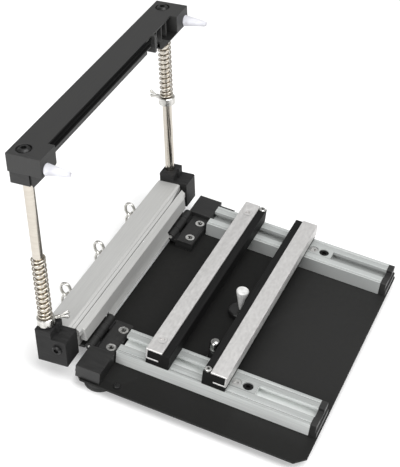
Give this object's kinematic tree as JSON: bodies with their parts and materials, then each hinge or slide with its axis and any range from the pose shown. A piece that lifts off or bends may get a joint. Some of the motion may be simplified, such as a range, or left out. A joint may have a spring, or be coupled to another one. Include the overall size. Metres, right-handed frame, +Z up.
{
  "type": "manual stencil printer",
  "caption": "Bench stencil printer: base plate with slotted rails and board bars, hinged frame with stencil clamp, rods, springs and upper bar.",
  "frame": {"origin": "on the table, under the middle of the bounding box with the frame open", "axes": "+X from the left rail to the right rail, +Y from the front edge to the hinges, +Z up"},
  "size_m": [0.2474, 0.2448, 0.2024],
  "materials": {
    "plate_black": "matt black powder coat",
    "rubber": "black rubber",
    "aluminium": "matt natural anodised",
    "cap_black": "black moulded plastic",
    "block_black": "satin black anodised",
    "upper_black": "matt black anodised",
    "rod_steel": "ground and plated",
    "spring_steel": "nickel plated wire",
    "nickel": "bright nickel",
    "screw_silver": "bright zinc",
    "screw_black": "black oxide",
    "post_silver": "satin silver",
    "cone_clear": "milky translucent plastic"
  },
  "bodies": {
    "base": {"base_plate": "plate_black", "foot_front_left": "rubber", "foot_front_right": "rubber", "foot_rear_left": "rubber", "foot_rear_right": "rubber", "plate_screw": "screw_black", "rail_left": "aluminium", "rail_right": "aluminium", "rail_cap_left": "cap_black", "rail_cap_right": "cap_black", "corner_block_left": "block_black", "corner_block_right": "block_black", "hinge_fixed_leaf_left": "block_black", "hinge_fixed_leaf_right": "block_black", "hinge_pin_left": "rod_steel", "hinge_pin_right": "rod_steel", "hinge_screws_left": "screw_silver", "hinge_screws_right": "screw_silver"},
    "rear_bar": {"rear_bar_channel": "aluminium", "rear_bar_insert": "cap_black", "rear_ledge_screw": "screw_silver", "rear_bar_nut_left": "aluminium", "rear_bar_nut_right": "aluminium", "rear_bar_screws": "screw_silver"},
    "front_bar": {"front_bar_channel": "aluminium", "front_bar_insert": "cap_black", "front_ledge_screw": "screw_silver", "front_bar_key_left": "aluminium", "front_bar_key_right": "aluminium", "lock_screws_left": "screw_black", "lock_screws_right": "screw_black"},
    "post_left": {"magnet_left": "screw_black", "support_post_left": "post_silver"},
    "post_right": {"magnet_right": "screw_black", "support_post_right": "post_silver"},
    "swing_frame": {"hinge_moving_leaf_left": "block_black", "hinge_moving_leaf_right": "block_black", "clamp_rear_bar": "aluminium", "lower_block_left": "block_black", "lower_block_right": "block_black", "lower_block_screws": "screw_black", "rod_left": "rod_steel", "rod_right": "rod_steel", "rod_screws": "screw_black"},
    "front_jaw": {"clamp_front_jaw": "aluminium"},
    "wing_left": {"clamp_wing_screw_left": "nickel"},
    "wing_centre": {"clamp_wing_screw_centre": "nickel"},
    "wing_right": {"clamp_wing_screw_right": "nickel"},
    "collar_left": {"collar_left": "nickel", "spring_left": "spring_steel"},
    "collar_right": {"collar_right": "nickel", "spring_right": "spring_steel"},
    "thumb_screw_left": {"collar_screw_left": "nickel"},
    "thumb_screw_right": {"collar_screw_right": "nickel"},
    "upper_bar": {"upper_bar": "upper_black", "upper_strip": "upper_black", "upper_guide_left": "block_black", "upper_guide_right": "block_black", "cone_foot_left": "cone_clear", "cone_foot_right": "cone_clear"}
  },
  "joints": [
    {"name": "frame_hinge", "type": "hinge", "parent": "base", "child": "swing_frame", "pos_m": [0, 0.06465, 0.0183], "axis": [1, 0, 0], "range_deg": [0, 95.9]},
    {"name": "front_bar_slide", "type": "slide", "parent": "base", "child": "front_bar", "axis": [0, 1, 0], "range_m": [-0.036, 0]},
    {"name": "rear_bar_slide", "type": "slide", "parent": "base", "child": "rear_bar", "axis": [0, 1, 0], "range_m": [0, 0.009]},
    {"name": "post_left_slide", "type": "slide", "parent": "base", "child": "post_left", "axis": [1, 0, 0], "range_m": [0, 0.025]},
    {"name": "post_right_slide", "type": "slide", "parent": "base", "child": "post_right", "axis": [1, 0, 0], "range_m": [-0.02, 0.07]},
    {"name": "upper_bar_slide", "type": "slide", "parent": "swing_frame", "child": "upper_bar", "axis": [0, 0.1298, 0.9915], "range_m": [-0.012, 0], "stiffness_N_per_m": 600, "springref_m": 0.012, "deforming": ["spring_right"]},
    {"name": "collar_left_slide", "type": "slide", "parent": "swing_frame", "child": "collar_left", "axis": [0, 0.1298, 0.9915], "range_m": [0, 0.055]},
    {"name": "collar_right_slide", "type": "slide", "parent": "swing_frame", "child": "collar_right", "axis": [0, 0.1298, 0.9915], "range_m": [-0.022, 0]},
    {"name": "thumb_screw_left_turn", "type": "hinge", "parent": "collar_left", "child": "thumb_screw_left", "pos_m": [-0.113, 0.09327, 0.04935], "axis": [0.6691, -0.7369, 0.0965], "range_deg": [0, 360]},
    {"name": "thumb_screw_right_turn", "type": "hinge", "parent": "collar_right", "child": "thumb_screw_right", "pos_m": [0.113, 0.10182, 0.11459], "axis": [0.2588, 0.9577, -0.1254], "range_deg": [0, 360]},
    {"name": "wing_centre_turn", "type": "hinge", "parent": "swing_frame", "child": "wing_centre", "pos_m": [0, 0.09701, 0.02667], "axis": [0, 0.9915, -0.1298], "range_deg": [0, 360]},
    {"name": "wing_left_turn", "type": "hinge", "parent": "swing_frame", "child": "wing_left", "pos_m": [-0.0585, 0.09701, 0.02667], "axis": [0, 0.9915, -0.1298], "range_deg": [0, 360]},
    {"name": "wing_right_turn", "type": "hinge", "parent": "swing_frame", "child": "wing_right", "pos_m": [0.0585, 0.09701, 0.02667], "axis": [0, 0.9915, -0.1298], "range_deg": [0, 360]},
    {"name": "front_jaw_slide", "type": "slide", "parent": "swing_frame", "child": "front_jaw", "axis": [0, -0.9915, 0.1298], "range_m": [0, 0.0008]}
  ]
}
